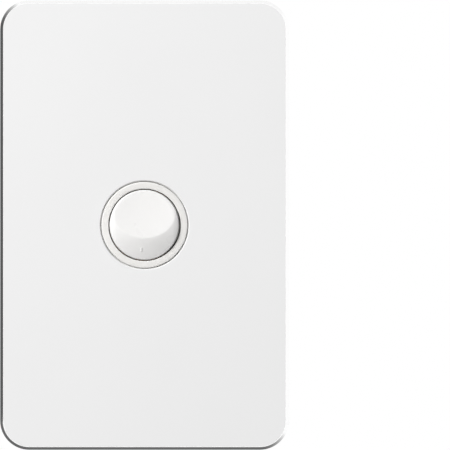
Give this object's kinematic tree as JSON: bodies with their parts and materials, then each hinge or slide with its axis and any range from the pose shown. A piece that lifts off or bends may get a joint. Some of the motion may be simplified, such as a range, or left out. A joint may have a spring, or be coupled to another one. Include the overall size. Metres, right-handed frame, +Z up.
{
  "type": "light switch",
  "caption": "Wall light switch with a clip-on upright plate, a flush round collar and a scooped round rocker that tips a two-way contact between screw terminals.",
  "frame": {"origin": "middle of the plate on the wall plane, halfway between the two fixing screws", "axes": "+X right as seen from the room, +Y into the wall along the screws, +Z up"},
  "size_m": [0.076, 0.0363, 0.1182],
  "materials": {
    "cover_plastic": "fine satin moulding",
    "mechanism_plastic": "fine satin moulding",
    "rocker_plastic": "smooth gloss moulding",
    "grid_plastic": "matt moulding",
    "base_plastic": "matt moulding",
    "plunger_nylon": "waxy nylon",
    "plated_steel": "zinc plated",
    "spring_steel": "drawn wire",
    "brass": "machined",
    "contact_copper": "rolled strip",
    "contact_silver": "silver alloy button"
  },
  "bodies": {
    "root": {"cover_plate": "cover_plastic", "grid_plate": "grid_plastic", "mounting_screws": "plated_steel", "mechanism_front": "mechanism_plastic", "mechanism_base": "base_plastic", "common_strip": "contact_copper", "way_one_strip": "contact_copper", "way_two_strip": "contact_copper", "way_one_contact_tip": "contact_silver", "way_two_contact_tip": "contact_silver", "common_terminal": "brass", "way_one_terminal": "brass", "way_two_terminal": "brass", "loop_terminal": "brass", "terminal_screws": "plated_steel"},
    "rocker": {"rocker": "rocker_plastic"},
    "plunger": {"plunger": "plunger_nylon", "plunger_spring": "spring_steel"},
    "blade": {"rocking_contact": "contact_copper", "rocking_contact_tips": "contact_silver"}
  },
  "joints": [
    {"name": "rocker_tilt", "type": "hinge", "parent": "root", "child": "rocker", "pos_m": [0, -0.0052, 0], "axis": [1, 0, 0], "range_deg": [0, 11.5]},
    {"name": "plunger_slide", "type": "slide", "parent": "rocker", "child": "plunger", "axis": [0, 0.995, -0.1002], "range_m": [-0.001, 0], "stiffness_N_per_m": 400, "deforming": ["plunger_spring"]},
    {"name": "contact_rock", "type": "hinge", "parent": "root", "child": "blade", "pos_m": [0, 0.00733, 0], "axis": [1, 0, 0], "range_deg": [-14.95, 0]}
  ],
  "couplings": [
    {"joint": "contact_rock", "follows": "rocker_tilt", "ratio": -1.3}
  ]
}
